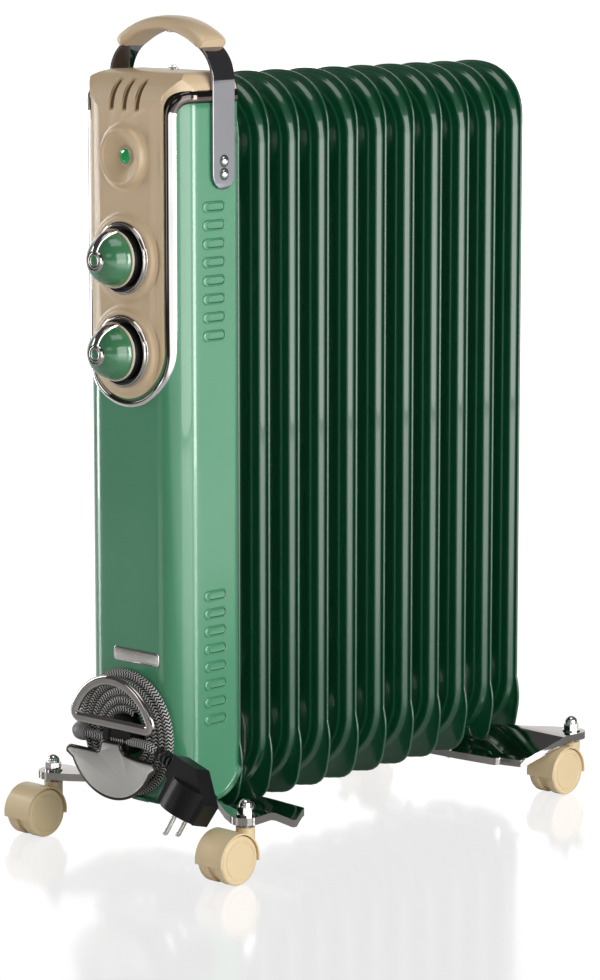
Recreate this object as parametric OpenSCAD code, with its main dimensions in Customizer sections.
// Oil filled radiator heater on four swivel casters, with a wound mains lead.
// Millimetres, +Z up, floor at Z = 0, control end facing -Y, X across the fins.

/* [Fins] */
// distance from one fin to the next
fin_pitch = 34; // [30:0.5:40]
// width of each fin across X
fin_w = 109; // [90:1:140]
// height of each fin
fin_h = 580; // [420:5:680]
// gap between the floor and the fins
fin_z = 34; // [30:1:50]
// full thickness of a fin at its oil channels
fin_body = 16; // [12:0.5:22]
// thickness of the welded rim
flange_t = 2.4; // [1.6:0.1:3]
// width of the welded rim
flange_w = 5.5; // [4:0.5:12]

/* [Cover] */
// depth of the control cover in front of the first fin
cover_d = 67.5; // [55:0.5:90]
// how far the cover's sides stand inside the fins' edges
cover_inset = 0.5; // [0:0.25:6]
// radius of the cover's two front corners
cover_r = 25; // [12:1:30]
// sheet thickness of the cover
sheet = 1.2; // [0.8:0.1:2]

/* [Controls] */
// drop from the top of the fins to the upper knob
knob_drop = 139; // [120:1:170]
// distance between the two knobs
knob_gap = 72; // [62:1:90]
// radius of a knob dome
dome_r = 22.7; // [16:0.1:26]
// drop from the top of the fins to the lamp dish
dish_drop = 61; // [50:1:80]

/* [Handle] */
// width of the handle strap
strap_w = 24; // [18:1:30]
// thickness of the handle strap
strap_t = 2.5; // [2:0.25:4]
// rise from the top of the fins to the top of the grip
grip_rise = 45; // [36:1:80]

/* [Feet] */
// half of the distance between the caster stems across X
stem_x = 108.5; // [90:0.5:140]
// wheel radius
wheel_r = 19.5; // [15:0.5:22]
// distance from stem to axle, seen from above
trail = 20; // [12:1:24]

/* [Lead] */
// outer diameter of the mains lead
lead_d = 7; // [5:0.5:8]

/* [Hidden] */
$fn = 48;

fins = 11;
last_y = (fins - 1) * fin_pitch;
fin_top = fin_z + fin_h;
half_w = fin_w / 2 - cover_inset;
front_y = -cover_d;
panel_y = front_y - 2.5;
// clearance between pieces that pass near each other
gap = 0.3;
beyond_x = half_w + 6;
knob_top_z = fin_top - knob_drop;
knob_low_z = knob_top_z - knob_gap;
dish_z = fin_top - dish_drop;
knob_y = panel_y - 10.5;
skirt_h = 7;
bezel_r = dome_r + 5.8;
pointer_y = front_y - 36.5;
cover_z = fin_z + 16;
shoulder_z = fin_top - 10;
cap_z = fin_top + 4;
header_r = 20;
header_low = fin_z + fin_w / 2 + 1.5;
header_high = fin_top - fin_w / 2 + 0.5;
bore_r = 11;
fin_wall = 2;
foot_top = 50;
foot_low = fin_z;
foot_t = 2.5;
foot_end = 12;
stem_front = -50;
stem_rear = last_y + 8;
mid_y = (stem_rear + foot_end + pointer_y) / 2;
wind_z = 100;
wind_r = 53;
wind_y = front_y - 22.5;
hood_r = wheel_r + 2;
strap_x = half_w + 0.5 + strap_t / 2;
strap_y = -18.4;
strap_drops = [-39, -29];
arch_r = 71.3;
arch_z = fin_top + grip_rise - 80.3;
bend_r = 30;
bend_x = strap_x - bend_r;
bend_a = acos(bend_x / (arch_r - bend_r));
bend_z = arch_z + sqrt(pow(arch_r - bend_r, 2) - pow(bend_x, 2));
lead_r = lead_d / 2;
plug_at = [80, front_y - 23.5, 53];
plug_turn = [17, -22, -173];
plug_e = turned_x(plug_turn);
plug_h = turned_z(plug_turn);
lead_end = plug_at + 44 * plug_e + 30 * plug_h;
lead_in = [-37, front_y - 12, 97];
lead_mid = [0, front_y - 12, 97];
green = [0.18, 0.42, 0.30];
dark_green = [0.04, 0.25, 0.15];
cream = [0.82, 0.75, 0.62];
chrome = [0.75, 0.75, 0.76];
black = [0.05, 0.05, 0.06];
grey = [0.55, 0.55, 0.55];

// Images of the x and z axes under rotate(a).
function turned_x(a) = [cos(a[2]) * cos(a[1]), sin(a[2]) * cos(a[1]), -sin(a[1])];
function turned_z(a) = [
    cos(a[2]) * sin(a[1]) * cos(a[0]) + sin(a[2]) * sin(a[0]),
    sin(a[2]) * sin(a[1]) * cos(a[0]) - cos(a[2]) * sin(a[0]),
    cos(a[1]) * cos(a[0])];
// Points along an arc of radius r round (x, y), from angle a to angle b.
function arc(x, y, r, a, b, n = 8) = [
    for (i = [0:n]) let (t = a + (b - a) * i / n) [x + r * cos(t), y + r * sin(t)]];
// The left half of an outline, from its right half given bottom to top.
function flip(p) = [for (i = [len(p) - 1:-1:0]) [-p[i][0], p[i][1]]];
// Right half of an arch: flat foot, rounded lower corner, upright side, curved top.
function arch_half(w, z0, z1, rise, r) = concat(
    [[0, z0]], arc(w - r, z0 + r, r, -90, 0),
    [for (i = [0:14]) let (t = 90 * i / 14)
        [w * pow(cos(t), 0.9), z1 - rise + rise * pow(sin(t), 0.9)]]);
function bezier(a, b, c, d, t) = pow(1 - t, 3) * a + 3 * t * pow(1 - t, 2) * b
    + 3 * t * t * (1 - t) * c + t * t * t * d;
function unit(v) = v / norm(v);

module in_frame() { translate([0, -mid_y, 0]) children(); }
// A shape drawn in X and Z, standing between two values of Y.
module slab(y0, y1) {
    translate([0, y1, 0]) rotate([90, 0, 0]) linear_extrude(y1 - y0) children();
}
// A shape drawn in Y and Z, standing between two values of X.
module bar(x0, x1) {
    translate([x0, 0, 0]) rotate([90, 0, 90]) linear_extrude(x1 - x0) children();
}
module rod_y(r, y0, y1, x = 0, z = 0) {
    translate([x, y1, z]) rotate([90, 0, 0]) cylinder(r = r, h = y1 - y0);
}
module rod_x(r, x0, x1, y = 0, z = 0) {
    translate([x0, y, z]) rotate([0, 90, 0]) cylinder(r = r, h = x1 - x0);
}
module mirrored_outline(p) { polygon(concat(p, flip(p))); }
module both_x() {
    children();
    mirror([1, 0, 0]) children();
}

// ---------------------------------------------------------------- fins
module fin_outline(d, r) {
    mirrored_outline(arch_half(fin_w / 2 - d, fin_z + d, fin_top - d, 46 - d * 0.5, r));
}
module fin_window(w, z0, z1, r) {
    mirrored_outline(concat([[0, z0]], arc(w - r, z0 + r, r, -90, 0),
        arc(w - r, z1 - r, r, 0, 90)));
}
// The pressed oil channel: straight sides, and a half circle round each header.
module fin_channel(r) {
    polygon(concat(arc(0, header_low, r, 180, 360, 28), arc(0, header_high, r, 0, 180, 28)));
}
module fin(i) {
    r = fin_w / 2 - flange_w;
    color(dark_green) translate([0, (i - 1) * fin_pitch, 0]) difference() {
        union() {
            slab(-flange_t / 2, flange_t / 2) fin_outline(0, 22);
            slab(-fin_body / 2, fin_body / 2) fin_channel(r);
        }
        for (s = [-1, 1]) translate([0, s * (fin_body / 2 - 1.5), 0])
            slab(-1.5 - 0.01, 1.5 + 0.01) fin_window(15, header_low + 34, header_high - 34, 8);
        difference() {
            slab(fin_wall - fin_body / 2, fin_body / 2 - fin_wall) fin_channel(r - 2.5);
            slab(-fin_body, fin_body) fin_window(17, header_low + 32, header_high - 32, 10);
        }
        rod_y(bore_r, -fin_body, i == fins ? 0 : fin_body, 0, header_low);
        rod_y(bore_r, i == 1 ? 0 : -fin_body, fin_body, 0, header_high);
    }
}
// The collars that join the oil channels of neighbouring fins.
module header_rings() {
    color(dark_green) for (i = [0:fins - 2]) for (z = [header_low, header_high])
        translate([0, (i + 0.5) * fin_pitch, 0]) difference() {
            rod_y(header_r, fin_body / 2 - fin_pitch / 2, fin_pitch / 2 - fin_body / 2, 0, z);
            rod_y(bore_r, -fin_pitch, fin_pitch, 0, z);
        }
}
module heating_element() {
    color(grey) union() {
        difference() {
            rod_y(17, -18, -fin_body / 2, 0, header_low);
            rod_y(3.2, -19, -14, 0, header_low + 11);
        }
        rod_y(bore_r, -fin_body / 2 - 1, -fin_body / 2 + 2, 0, header_low);
        rod_y(3.5, -8, last_y - 30, 4.2, header_low);
        rod_y(3.5, -8, last_y - 30, -4.2, header_low);
        translate([0, last_y - 30, header_low]) rotate([90, 0, 0])
            cylinder(r = 8.5, h = 4);
        rod_y(2.2, -30, -17, 4.5, header_low);
        rod_y(2.2, -30, -17, -4.5, header_low);
    }
}
module filler_plug() {
    y = last_y + fin_body / 2;
    color(grey) union() {
        rod_y(14, y, y + 1.5, 0, header_high);
        translate([0, y + 8, header_high]) rotate([90, 0, 0])
            cylinder(r = 11, h = 7, $fn = 6);
        rod_y(bore_r, y - 6, y + 0.5, 0, header_high);
    }
}

// ---------------------------------------------------------------- cover
// Plan of the control end: flat sides, two rounded front corners.
module end_plan(w, y0, r) {
    polygon(concat([[w, 0]], [[w, -1]], arc(w - r, y0 + r, r, 0, -90),
        arc(r - w, y0 + r, r, -90, -180), [[-w, -1]], [[-w, 0]]));
}
// Side view of the cover, with its lower back corner rounded off.
module cover_side(g) {
    polygon(concat([[-flange_t / 2, shoulder_z - g], [front_y - 1, shoulder_z - g],
        [front_y - 1, cover_z + g]],
        arc(-29 - flange_t / 2, cover_z + 29, 29 - g, -90, 0, 10),
        [[-flange_t / 2, cover_z + 40]]));
}
// Room for the first fin's oil channel.
module fin_room() {
    slab(-fin_body / 2 - gap, 1) fin_channel(fin_w / 2 - flange_w + gap);
}
module end_cover() {
    color(green) difference() {
        intersection() {
            translate([0, 0, cover_z]) linear_extrude(shoulder_z - cover_z)
                end_plan(half_w, front_y, cover_r);
            bar(-beyond_x, beyond_x) cover_side(0);
        }
        difference() {
            intersection() {
                translate([0, 0.5, cover_z + sheet])
                    linear_extrude(shoulder_z - cover_z - 2 * sheet)
                    end_plan(half_w - sheet, front_y + sheet - 0.5, cover_r - sheet);
                translate([0, 0.5, 0]) bar(-beyond_x, beyond_x) cover_side(sheet);
            }
            // Boss behind the handle screws on each side.
            both_x() rod_x(9, half_w - 6, half_w, strap_y, arch_z - 34);
        }
        fin_room();
        bend_room();
        for (z = [dish_z, knob_top_z, knob_low_z]) rod_y(9, front_y - 1,
            front_y + 3, 0, z);
        both_x() for (i = [0:7]) {
            bar(half_w - 3, half_w + 1) louvre(fin_top - 99 - 14.2 * i);
            bar(half_w - 3, half_w + 1) louvre(cover_z + 162 - 14.1 * i);
        }
        both_x() for (dz = strap_drops)
            rod_x(2, half_w - 10, half_w + 1, strap_y, arch_z + dz);
    }
}
module louvre(z) {
    polygon(concat(arc(-37, z, 1.5, 90, 270, 6), arc(-17, z, 1.5, -90, 90, 6)));
}
module heat_shield() {
    y = -fin_body / 2;
    color(grey) difference() {
        slab(y - 1, y) fin_window(half_w - sheet - 0.4, cover_z + 30, shoulder_z - 4, 12);
        rod_y(19, y - 2, y + 1, 0, header_low);
        both_x() rod_x(9 + gap, half_w - 8, half_w, strap_y, arch_z - 34);
    }
}
// Front view of the cream panel, right half from its rounded lower end to the top.
function panel_half(g) = concat(
    arc(0, knob_low_z + 2, 39 + g, -90, 0, 14),
    arc(53, shoulder_z - 14, 14 - g, 180, 90, 8),
    arc(half_w - 16, shoulder_z - 2, 16, 0, 90, 8), [[0, cap_z]]);
module panel_side(g) {
    y = panel_y + g;
    polygon(concat([[-flange_t / 2 - 0.3, 340], [-flange_t / 2 - 0.3, cap_z - 1 - g],
        [-12, cap_z - g]], arc(y + 30, cap_z - 30 - g, 30, 90, 180, 12), [[y, 340]]));
}
// Room for the panel's bend over the cover's top front edge.
module bend_room() {
    bar(-38, 38) difference() {
        polygon([[front_y - 1, cap_z - 40], [front_y + 29, cap_z - 40],
            [front_y + 29, cap_z], [front_y - 1, cap_z]]);
        panel_side(2.45);
    }
}
module control_panel() {
    color(cream) difference() {
        union() {
            intersection() {
                slab(panel_y - 1, 0) mirrored_outline(panel_half(0));
                translate([0, 0, 340]) linear_extrude(cap_z - 339)
                    end_plan(half_w, panel_y, cover_r + 2);
                bar(-beyond_x, beyond_x) panel_side(0);
            }
            rod_y(21.8, panel_y - 4.5, panel_y + 1, 0, dish_z);
            for (z = [knob_top_z, knob_low_z])
                rod_y(bezel_r + 3.5, panel_y - 2, panel_y + 1, 0, z);
        }
        difference() {
            translate([0, 0, 340]) linear_extrude(shoulder_z - 340)
                end_plan(half_w + 0.01, front_y, cover_r);
            bend_room();
        }
        intersection() {
            translate([0, 0, shoulder_z - 1]) linear_extrude(cap_z - 1 - shoulder_z)
                end_plan(half_w - 3, front_y + 1, cover_r - 2);
            bar(-beyond_x, beyond_x) panel_side(3);
            slab(panel_y, -4) mirrored_outline([[0, 500], [half_w - 6, 500],
                [half_w - 6, shoulder_z + 4], [half_w - 18, cap_z - 3], [0, cap_z - 3]]);
        }
        fin_room();
        for (x = [-14, 0, 14]) intersection() {
            slab(panel_y - 1, panel_y + 13)
                polygon(concat(arc(x, cap_z - 31, 2.8, 180, 360, 8),
                    [[x + 2.8, cap_z + 2], [x - 2.8, cap_z + 2]]));
            bar(x - 3, x + 3) polygon(concat(arc(panel_y + 30, cap_z - 30, 34, 90, 180),
                arc(panel_y + 30, cap_z - 30, 27.6, 180, 90)));
        }
        // The dish is a hollow cone round the lamp.
        translate([0, panel_y - 4.6, dish_z]) rotate([-90, 0, 0])
            cylinder(r1 = 20, r2 = 8, h = 7);
        rod_y(6.2, panel_y - 5, front_y + 1, 0, dish_z);
        for (z = [knob_top_z, knob_low_z]) {
            rod_y(bezel_r, panel_y - 3, panel_y + 0.5, 0, z);
            rod_y(9, panel_y - 3, front_y + 1, 0, z);
        }
    }
}
module trim_strip() {
    outer = concat(arc(0, knob_low_z + 2, 48, -90, 0, 14),
        arc(54, shoulder_z - 16, 6, 180, 90, 6),
        [[half_w + 3, shoulder_z - 10], [half_w + 3, shoulder_z], [0, shoulder_z]]);
    color(chrome) difference() {
        intersection() {
            slab(front_y - 3, -flange_t / 2 - 0.3) mirrored_outline(outer);
            translate([0, 0, 340]) linear_extrude(fin_top - 340)
                end_plan(half_w + 0.5, front_y - 1.8, cover_r + 1.6);
        }
        translate([0, 0, 330]) linear_extrude(fin_top - 300)
            end_plan(half_w, front_y, cover_r);
        slab(front_y - 5, 1) mirrored_outline(concat(panel_half(0), [[0, 700]]));
        slab(front_y - 5, -45) polygon([[-38, 380], [38, 380], [38, 700], [-38, 700]]);
    }
}

// ---------------------------------------------------------------- controls
module lamp_lens() {
    color([0.05, 0.4, 0.2]) union() {
        rod_y(6.2, panel_y + 2.4, front_y + 1, 0, dish_z);
        translate([0, panel_y + 2.4, dish_z]) rotate([90, 0, 0])
            cylinder(r = 5.2, h = 1.4, $fn = 8);
        rod_y(8.8, front_y + 1.2, front_y + 12, 0, dish_z);
        rod_y(6, front_y + 0.5, front_y + 2, 0, dish_z);
    }
}
module bezel(z) {
    color(chrome) difference() {
        union() {
            rod_y(bezel_r, panel_y - 4, panel_y + 0.5, 0, z);
            rod_y(bezel_r - 1, panel_y - 6, panel_y, 0, z);
        }
        rod_y(bezel_r - 3, panel_y - 7, panel_y - 3.5, 0, z);
        rod_y(bezel_r - 4.3, panel_y - 7, panel_y - 2, 0, z);
        rod_y(4, panel_y - 7, panel_y + 2, 0, z);
    }
}
module shaft(z) {
    color(grey) difference() {
        rod_y(3, pointer_y + 5, front_y + 14, 0, z);
        translate([1.8, pointer_y + 4, z - 4]) cube([3, 12, 8]);
    }
}
// A profile of radius against height, turned round an axis that points to -Y.
module turned(y, z) {
    translate([0, y, z]) rotate([90, 0, 0]) rotate_extrude() children();
}
module knob(z) {
    color(green) turned(knob_y, z) difference() {
        union() {
            intersection() {
                circle(r = dome_r);
                translate([0, 1]) square(60);
            }
            translate([0, -skirt_h]) square([dome_r - 0.2, skirt_h + 1.2]);
        }
        intersection() {
            circle(r = dome_r - 2.5);
            translate([7, 0]) square(60);
        }
        translate([7, -skirt_h - 1]) square([dome_r - 9.7, skirt_h + 1]);
        translate([0, -skirt_h - 1]) square([3, skirt_h + dome_r - 2.7]);
    }
}
module pointer(z) {
    hub_h = knob_y - pointer_y;
    color(chrome) union() {
        turned(knob_y, z) difference() {
            translate([0, dome_r - 3.5]) square([7.4, hub_h - dome_r + 3.5]);
            circle(r = dome_r);
            translate([0, hub_h - 1.5]) square([3, 3]);
        }
        intersection() {
            turned(knob_y, z) difference() {
                translate([4, 2.5]) square(40);
                circle(r = dome_r);
                difference() {
                    square(60);
                    circle(r = dome_r + 1.6);
                }
            }
            slab(pointer_y, panel_y) translate([0, z]) polygon([[-3, 0], [-3.2, 10],
                [-5.5, dome_r - 5.5], [-6.5, dome_r + 2.5], [6.5, dome_r + 2.5],
                [5.5, dome_r - 5.5], [3.2, 10], [3, 0]]);
        }
    }
}
module switch_box(z, w) {
    y = front_y + sheet;
    color(grey) difference() {
        union() {
            translate([-w / 2, y + 4, z - 19]) cube([w, 20, 38]);
            rod_y(8.6, y - 1, y + 4.5, 0, z);
            for (x = [-12, 0, 12]) translate([x - 3, y + 23, z - 12]) cube([6, 7, 1]);
        }
        rod_y(3.05, y - 3, y + 20, 0, z);
    }
}
module terminal_block() {
    y = front_y + sheet;
    color(cream) difference() {
        translate([-24, y, 290]) cube([48, 18, 22]);
        for (i = [-2:2]) translate([i * 9, y + 19, 301]) rotate([90, 0, 0])
            cylinder(r = 2.5, h = 8);
    }
}

// ---------------------------------------------------------------- handle
// One edge of the strap's arch, from the right foot over the top to the left foot.
function strap_edge(d) = let (h = concat([[strap_x + d, arch_z - 55]],
    arc(bend_x, bend_z, bend_r + d, 0, bend_a, 10),
    arc(0, arch_z, arch_r + d, bend_a, 90, 10))) concat(h, flip(h));
function reversed(p) = [for (i = [len(p) - 1:-1:0]) p[i]];
module strap_band() {
    slab(strap_y - strap_w / 2, strap_y + strap_w / 2)
        polygon(concat(strap_edge(strap_t / 2), reversed(strap_edge(-strap_t / 2))));
}
module handle_strap() {
    low = arch_z + strap_drops[0];
    color(chrome) difference() {
        intersection() {
            strap_band();
            bar(-90, 90) union() {
                translate([strap_y, low]) circle(r = strap_w / 2);
                translate([strap_y - strap_w / 2, low]) square([strap_w, 200]);
            }
        }
        both_x() for (dz = strap_drops)
            rod_x(2, half_w - 4, half_w + 6, strap_y, arch_z + dz);
        translate([0, strap_y, arch_z + arch_r - 5]) cylinder(r = 2, h = 10);
    }
}
module handle_grip() {
    color(cream) difference() {
        slab(strap_y - strap_w / 2 - 3, strap_y + strap_w / 2 + 3)
            polygon(concat(arc(0, arch_z, 80.3, bend_a + 1, 179 - bend_a, 20),
                arc(0, arch_z, 69, 179 - bend_a, bend_a + 1, 20)));
        strap_band();
        translate([0, strap_y, arch_z + 60]) cylinder(r = 2, h = 16);
    }
}
module screws() {
    color(chrome) {
        both_x() for (dz = strap_drops)
            translate([strap_x + strap_t / 2, strap_y, arch_z + dz]) rotate([0, 90, 0])
                rotate_extrude() union() {
                    intersection() {
                        translate([0, -2.5]) circle(r = 4.6);
                        square(10);
                    }
                    translate([0, -12]) square([2, 12.5]);
                }
        translate([0, strap_y, arch_z + 65.7]) cylinder(r = 3.4, h = 3);
        translate([0, strap_y, arch_z + 68]) cylinder(r = 2, h = 8);
        translate([0, -16, cap_z]) cylinder(r = 4, h = 1.6);
        translate([0, -16, cap_z]) cylinder(r = 2.4, h = 3.2);
    }
}
module badge_plate() {
    color(chrome) slab(front_y - 1.6, front_y) translate([8, 163])
        polygon(concat(arc(22.5, 3, 2.5, 0, 90, 4), arc(-22.5, 3, 2.5, 90, 180, 4),
            arc(-22.5, -3, 2.5, 180, 270, 4), arc(22.5, -3, 2.5, -90, 0, 4)));
}

// ---------------------------------------------------------------- winder and lead
module winder_hub() {
    y = wind_y + 6;
    color(grey) difference() {
        rod_y(16, y, front_y, 0, wind_z);
        translate([-20, y - 1, wind_z - 8]) cube([40, 10, 10.5]);
    }
}
// Half of a D: straight lower edge at z, and an arc of radius r round the winder's centre.
function d_half(r, z) = let (a = asin((z + 6 - wind_z) / r)) concat([[0, z]],
    arc(r * cos(a) - 6, z + 6, 6, -90, 0, 6), arc(0, wind_z, r, a + 4, 90, 14));
module winder_ring() {
    color(chrome) slab(wind_y, wind_y + 6) difference() {
        mirrored_outline(d_half(wind_r, 107));
        mirrored_outline(d_half(wind_r - 8.5, 115));
    }
}
module winder_plate() {
    color(chrome) slab(wind_y + 0.5, wind_y + 6) intersection() {
        translate([0, wind_z]) circle(r = wind_r);
        polygon([[-60, 40], [60, 40], [60, 78], [51, 80], [44, 87], [22, 88], [15, 89],
            [11, 92], [9, 96], [-11, 96], [-13, 91], [-17, 88], [-47, 88], [-60, 80]]);
    }
}
module cord_gland() {
    y = front_y - 12.5;
    color(grey) difference() {
        union() {
            intersection() {
                rod_x(7.5, -51, -37, y, 97);
                translate([-60, y - 10, 80]) cube([40, 15.4, 40]);
            }
            translate([-50, y - 6, 98]) cube([10, 5, 9]);
        }
        rod_x(2.5, -38.5, -36, y + 0.5, 97);
    }
}
module cord_coil() {
    d = lead_d;
    color(black) translate([0, front_y, wind_z]) rotate([90, 0, 0]) rotate_extrude()
        polygon([[16, 0], [53, 0], [54, 1.5], [54, 5.5], [52.5, d], [16, d]]);
}
module tube(pts, dirs, r) {
    n = len(pts);
    side = [for (i = [0:n - 1]) unit(cross([0.1, 0, 1], dirs[i]))];
    up = [for (i = [0:n - 1]) unit(cross(dirs[i], side[i]))];
    polyhedron(points = [for (i = [0:n - 1]) for (k = [0:11])
            pts[i] + r * cos(k * 30) * side[i] + r * sin(k * 30) * up[i]],
        faces = concat([[for (k = [11:-1:0]) k]],
            [[for (k = [0:11]) (n - 1) * 12 + k]],
            [for (i = [0:n - 2]) for (k = [0:11])
                [i * 12 + k, i * 12 + (k + 1) % 12, (i + 1) * 12 + (k + 1) % 12]],
            [for (i = [0:n - 2]) for (k = [0:11])
                [i * 12 + k, (i + 1) * 12 + (k + 1) % 12, (i + 1) * 12 + k]]));
}
module cord_lead() {
    b1 = lead_mid + [20, 0, 0];
    b2 = lead_end + 17 * plug_e;
    path = concat([for (i = [0:4]) lead_in + (lead_mid - lead_in) * i / 5],
        [for (i = [0:14]) bezier(lead_mid, b1, b2, lead_end, i / 14)]);
    n = len(path);
    dirs = [for (i = [0:n - 1]) i == 0 ? [1, 0, 0] : i == n - 1 ? -plug_e :
        unit(path[i + 1] - path[i - 1])];
    color(black) tube(path, dirs, lead_r);
}
module at_plug() { translate(plug_at) rotate(plug_turn) children(); }
module plug_relief() {
    color(black) at_plug() translate([20, 0, 30]) rotate([0, 90, 0]) difference() {
        cylinder(r1 = 7.5, r2 = 4.4, h = 24);
        for (i = [0:3]) translate([0, 0, 6 + 4.4 * i]) difference() {
            cylinder(r = 9, h = 1.6);
            cylinder(r = 4, h = 1.6);
        }
    }
}
module plug_body() {
    color(black) at_plug() difference() {
        intersection() {
            slab(-19, 19) polygon([[-19, 0], [19, 0], [20, 19], [24, 21], [24, 38],
                [2, 38], [-20, 18]]);
            union() {
                cylinder(r = 19, h = 24);
                translate([-20, -11, 0]) cube([44, 22, 40]);
            }
        }
        translate([20, 0, 30]) rotate([0, 90, 0]) cylinder(r = 7.5, h = 5);
        for (s = [-1, 1]) translate([0, 9.5 * s, -1]) cylinder(r = 2, h = 13);
    }
}
module plug_pins() {
    color(chrome) at_plug() for (s = [-1, 1]) translate([0, 9.5 * s, 0]) union() {
        translate([0, 0, -16.6]) cylinder(r = 2.4, h = 16.6);
        translate([0, 0, -1]) cylinder(r = 2, h = 13);
        translate([0, 0, -16.6]) sphere(r = 2.4);
    }
}

// ---------------------------------------------------------------- feet
// Plan of a foot, drawn with the stem line at 0 and the fins towards +Y.
function foot_half(tail, g) = concat(
    [[0, 30 + g], [34, 26 + g], [66, 14 + g], [88, -2 + g]],
    arc(stem_x, 0, foot_end - g, -125, 10, 10),
    [[stem_x + 9 - g, 26], [stem_x - 4 - g, 62]],
    arc(80, tail - 6, 6 - g, 5, 90, 5), [[46, tail + 3 - g], [0, tail + 5 - g]]);
module foot(tail) {
    side = [[-20, foot_top], [18, foot_top], [24, foot_top - 1.5], [56, foot_low + 1],
        [62, foot_low], [120, foot_low]];
    color(chrome) difference() {
        intersection() {
            translate([0, 0, 20]) linear_extrude(40) mirrored_outline(foot_half(tail, 0));
            bar(-140, 140) polygon(concat(side, [for (i = [5:-1:0]) side[i] - [0, 6]]));
        }
        intersection() {
            translate([0, 0, 10]) linear_extrude(60) mirrored_outline(foot_half(tail, 2.2));
            bar(-140, 140) polygon(concat([for (p = side) p - [0, foot_t]],
                [for (i = [5:-1:0]) side[i] - [0, 12]]));
        }
        both_x() translate([stem_x, 0, 30]) cylinder(r = 3.9, h = 30);
        for (x = [-1, 1]) translate([x * 23, clamp_u(tail), 20]) cylinder(r = 2.6, h = 20);
    }
}
function clamp_u(tail) = tail > 80 ? 67 : stem_rear - last_y + 1.5 * fin_pitch;
// Room for a fin that stands in the sloping part of a foot.
module fin_seat(i) {
    translate([0, (i - 1) * fin_pitch, 0]) {
        slab(-flange_t / 2 - gap, flange_t / 2 + gap) fin_outline(-gap, 22);
        slab(-fin_body / 2 - gap, fin_body / 2 + gap) fin_channel(fin_w / 2 - flange_w + gap);
    }
}
module foot_front() {
    difference() {
        translate([0, stem_front, 0]) foot(94);
        fin_seat(1);
    }
}
module foot_rear() {
    difference() {
        translate([0, stem_rear, 0]) mirror([0, 1, 0]) foot(72);
        fin_seat(fins - 1);
        fin_seat(fins);
    }
}
module foot_clamps() {
    color(chrome) for (y = [fin_pitch / 2, last_y - 1.5 * fin_pitch])
        translate([0, y, 0]) union() {
            translate([0, 0, header_low]) rotate([90, 0, 0])
                rotate_extrude(angle = 180) translate([23, 0]) circle(r = 2.5);
            both_x() translate([23, 0, foot_low - 11]) cylinder(r = 2.5, h = header_low - foot_low + 11);
            both_x() translate([23, 0, foot_low - foot_t - 4])
                cylinder(r = 5.4, h = 4, $fn = 6);
            both_x() translate([14, -1, foot_low - foot_t - 4]) cube([18, 2, 3]);
        }
}
module at_stems() {
    for (x = [-1, 1]) for (y = [stem_front, stem_rear]) translate([x * stem_x, y, 0]) children();
}
module cap_nuts() {
    color(chrome) at_stems() difference() {
        union() {
            translate([0, 0, foot_top]) cylinder(r = 7.6, h = 1.2);
            translate([0, 0, foot_top + 1]) cylinder(r = 6.6, h = 5.6, $fn = 6);
            intersection() {
                translate([0, 0, foot_top + 7.6]) sphere(r = 5.2);
                translate([-8, -8, foot_top + 3]) cube([16, 16, 20]);
            }
        }
        translate([0, 0, foot_top - 1]) cylinder(r = 3.9, h = 10);
    }
}
module caster_stems() {
    color(chrome) at_stems() union() {
        translate([0, 0, foot_top - 19]) cylinder(r = 3.9, h = 28);
        translate([0, 0, foot_top - foot_t - 2]) cylinder(r = 6.4, h = 2);
    }
}
module hood() {
    z = wheel_r;
    color(cream) difference() {
        union() {
            difference() {
                union() {
                    rod_x(hood_r, -14, 14, -trail, z);
                    translate([0, 0, 27]) cylinder(r = 7.5, h = foot_top - 36);
                }
                for (s = [-1, 1]) translate([s > 0 ? 3 : -23, 0, 0])
                    rod_x(wheel_r + 0.7, 0, 20, -trail, z);
                translate([-20, -trail - 30, -5]) cube([40, 60, z + 2]);
            }
            rod_x(wheel_r - 2.5, -3, 3, -trail, z);
            rod_x(2.6, -11.5, 11.5, -trail, z);
        }
        translate([0, 0, foot_top - 19.2]) cylinder(r = 3.95, h = 30);
    }
}
module wheel(s) {
    z = wheel_r;
    x0 = s > 0 ? 3.4 : -13.6;
    color(cream) difference() {
        union() {
            rod_x(wheel_r - 0.8, x0, x0 + 10.2, -trail, z);
            rod_x(wheel_r, x0 + 0.8, x0 + 9.4, -trail, z);
        }
        rod_x(2.65, s > 0 ? 3 : -11.9, s > 0 ? 11.9 : -3, -trail, z);
        difference() {
            rod_x(wheel_r - 3.4, s > 0 ? 12.8 : -14, s > 0 ? 14 : -12.8, -trail, z);
            rod_x(wheel_r - 4.4, -15, 15, -trail, z);
        }
        difference() {
            rod_x(wheel_r - 3, s > 0 ? 3 : -9, s > 0 ? 9 : -3, -trail, z);
            rod_x(5.5, -15, 15, -trail, z);
        }
    }
}
module caster(x, y, what, s) {
    translate([x * stem_x, y, 0])
        if (what == "hood") hood();
        else wheel(s);
}

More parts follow.
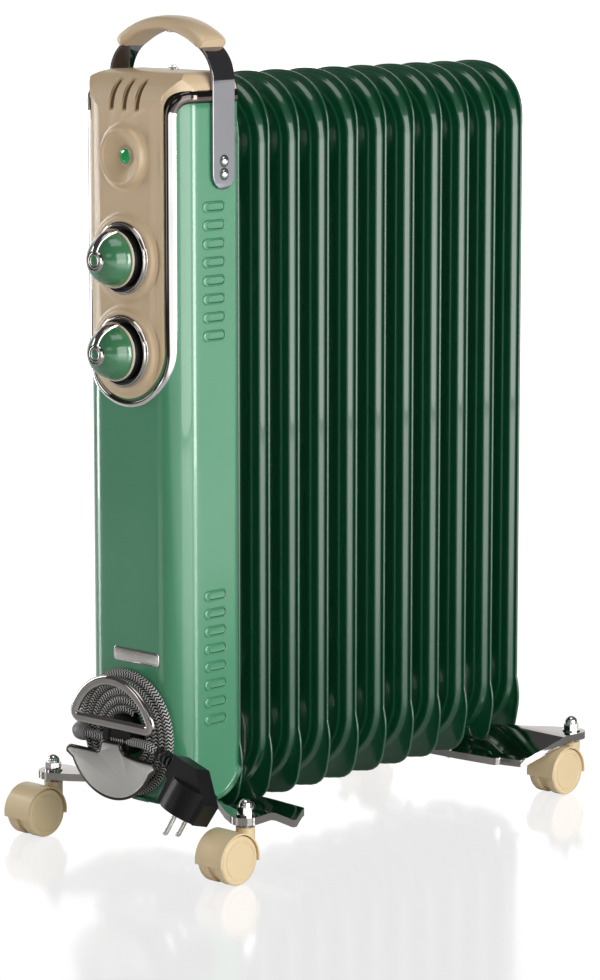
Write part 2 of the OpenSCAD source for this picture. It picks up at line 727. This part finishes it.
in_frame() fin(1);  // fin_01
in_frame() fin(2);  // fin_02
in_frame() fin(3);  // fin_03
in_frame() fin(4);  // fin_04
in_frame() fin(5);  // fin_05
in_frame() fin(6);  // fin_06
in_frame() fin(7);  // fin_07
in_frame() fin(8);  // fin_08
in_frame() fin(9);  // fin_09
in_frame() fin(10);  // fin_10
in_frame() fin(11);  // fin_11
in_frame() header_rings();
in_frame() heating_element();
in_frame() filler_plug();
in_frame() end_cover();
in_frame() heat_shield();
in_frame() control_panel();
in_frame() trim_strip();
in_frame() lamp_lens();
in_frame() bezel(knob_top_z);  // bezel_upper
in_frame() bezel(knob_low_z);  // bezel_lower
in_frame() knob(knob_top_z);  // knob_upper
in_frame() pointer(knob_top_z);  // pointer_upper
in_frame() shaft(knob_top_z);  // shaft_upper
in_frame() knob(knob_low_z);  // knob_lower
in_frame() pointer(knob_low_z);  // pointer_lower
in_frame() shaft(knob_low_z);  // shaft_lower
in_frame() switch_box(knob_top_z, 36);  // selector_switch
in_frame() switch_box(knob_low_z, 30);  // thermostat
in_frame() terminal_block();
in_frame() handle_strap();
in_frame() handle_grip();
in_frame() screws();
in_frame() badge_plate();
in_frame() winder_hub();
in_frame() winder_ring();
in_frame() winder_plate();
in_frame() cord_gland();
in_frame() cord_coil();
in_frame() cord_lead();
in_frame() plug_relief();
in_frame() plug_body();
in_frame() plug_pins();
in_frame() foot_front();
in_frame() foot_rear();
in_frame() foot_clamps();
in_frame() cap_nuts();
in_frame() caster_stems();
in_frame() caster(1, stem_front, "hood", 0);  // hood_fr
in_frame() caster(1, stem_front, "wheel", 1);  // wheel_fr_out
in_frame() caster(1, stem_front, "wheel", -1);  // wheel_fr_in
in_frame() caster(-1, stem_front, "hood", 0);  // hood_fl
in_frame() caster(-1, stem_front, "wheel", -1);  // wheel_fl_out
in_frame() caster(-1, stem_front, "wheel", 1);  // wheel_fl_in
in_frame() caster(1, stem_rear, "hood", 0);  // hood_rr
in_frame() caster(1, stem_rear, "wheel", 1);  // wheel_rr_out
in_frame() caster(1, stem_rear, "wheel", -1);  // wheel_rr_in
in_frame() caster(-1, stem_rear, "hood", 0);  // hood_rl
in_frame() caster(-1, stem_rear, "wheel", -1);  // wheel_rl_out
in_frame() caster(-1, stem_rear, "wheel", 1);  // wheel_rl_in
